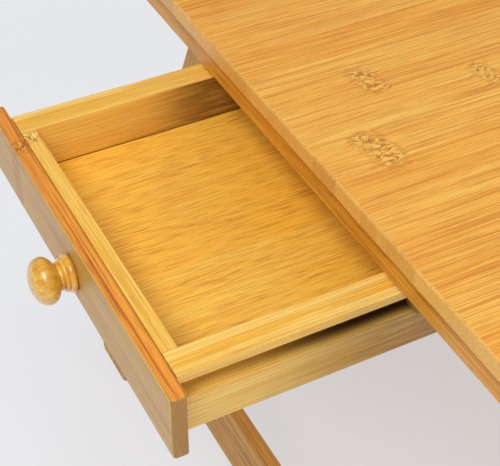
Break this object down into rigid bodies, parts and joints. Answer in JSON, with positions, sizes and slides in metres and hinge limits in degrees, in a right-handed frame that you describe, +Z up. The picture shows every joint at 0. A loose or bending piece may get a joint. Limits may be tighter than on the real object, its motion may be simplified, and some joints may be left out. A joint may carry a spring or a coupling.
{
  "type": "laptop stand with drawer",
  "caption": "Bamboo lap table with folding leg frames, a tilting vented laptop board on a notched prop and a side drawer with a turned knob.",
  "frame": {"origin": "middle of the table's footprint on the floor, midway between the four feet", "axes": "+X to the user's right along the table's length, +Y away from the user, +Z up; the drawer pulls out towards -X"},
  "size_m": [0.7736, 0.375, 0.297],
  "materials": {
    "bamboo_top": "satin lacquered bamboo, streaked along the grain",
    "bamboo_rail": "satin lacquered bamboo, darker",
    "bamboo_drawer": "satin lacquered bamboo, two plies",
    "bamboo_floor": "satin lacquered bamboo veneer with short dark fibres",
    "bamboo_leg": "satin lacquered bamboo",
    "knob_wood": "glossy turned wood",
    "steel": "nickel-plated steel"
  },
  "bodies": {
    "frame": {"end_rail_left": "bamboo_rail", "end_rail_right": "bamboo_rail", "front_rail": "bamboo_rail", "rear_rail": "bamboo_rail", "middle_rail": "bamboo_rail", "fixed_board": "bamboo_top", "hanger_front": "bamboo_rail", "hanger_rear": "bamboo_rail", "runner_front": "bamboo_leg", "runner_rear": "bamboo_leg", "leg_cheek_left_front": "bamboo_rail", "leg_cheek_left_rear": "bamboo_rail", "leg_cheek_right_front": "bamboo_rail", "leg_cheek_right_rear": "bamboo_rail", "pivot_bolts": "steel", "pivot_nuts": "steel", "pivot_washers": "steel", "stop_pins": "steel", "hinge_rail_leaves": "steel", "hinge_pins": "steel", "hinge_rail_screws": "steel"},
    "tilt": {"tilt_board": "bamboo_top", "laptop_ledge": "bamboo_rail", "rack_batten_left": "bamboo_leg", "rack_batten_right": "bamboo_leg", "hinge_board_leaves": "steel", "hinge_board_screws": "steel"},
    "prop": {"prop_wire": "steel"},
    "drawer": {"drawer_side_front": "bamboo_drawer", "drawer_side_rear": "bamboo_drawer", "drawer_front_board": "bamboo_drawer", "drawer_back_board": "bamboo_drawer", "drawer_floor": "bamboo_floor", "face_plate": "bamboo_drawer", "knob": "knob_wood", "knob_screw": "steel"},
    "left_legs": {"leg_left_front": "bamboo_leg", "leg_left_rear": "bamboo_leg", "stretcher_left": "bamboo_leg"},
    "right_legs": {"leg_right_front": "bamboo_leg", "leg_right_rear": "bamboo_leg", "stretcher_right": "bamboo_leg"}
  },
  "joints": [
    {"name": "drawer_slide", "type": "slide", "parent": "frame", "child": "drawer", "axis": [-1, 0, 0], "range_m": [-0.107, 0.03]},
    {"name": "board_tilt", "type": "hinge", "parent": "frame", "child": "tilt", "pos_m": [0.078, -0.1852, 0.2815], "axis": [1, 0, 0], "range_deg": [0, 30]},
    {"name": "prop_swing", "type": "hinge", "parent": "frame", "child": "prop", "pos_m": [0.078, -0.0452, 0.2775], "axis": [1, 0, 0], "range_deg": [0, 60]},
    {"name": "left_legs_fold", "type": "hinge", "parent": "frame", "child": "left_legs", "pos_m": [-0.2585, 0, 0.2345], "axis": [0, -1, 0], "range_deg": [0, 108.2]},
    {"name": "right_legs_fold", "type": "hinge", "parent": "frame", "child": "right_legs", "pos_m": [0.2585, 0, 0.2345], "axis": [0, 1, 0], "range_deg": [0, 108.2]}
  ],
  "couplings": [
    {"joint": "prop_swing", "follows": "board_tilt", "ratio": 2}
  ]
}
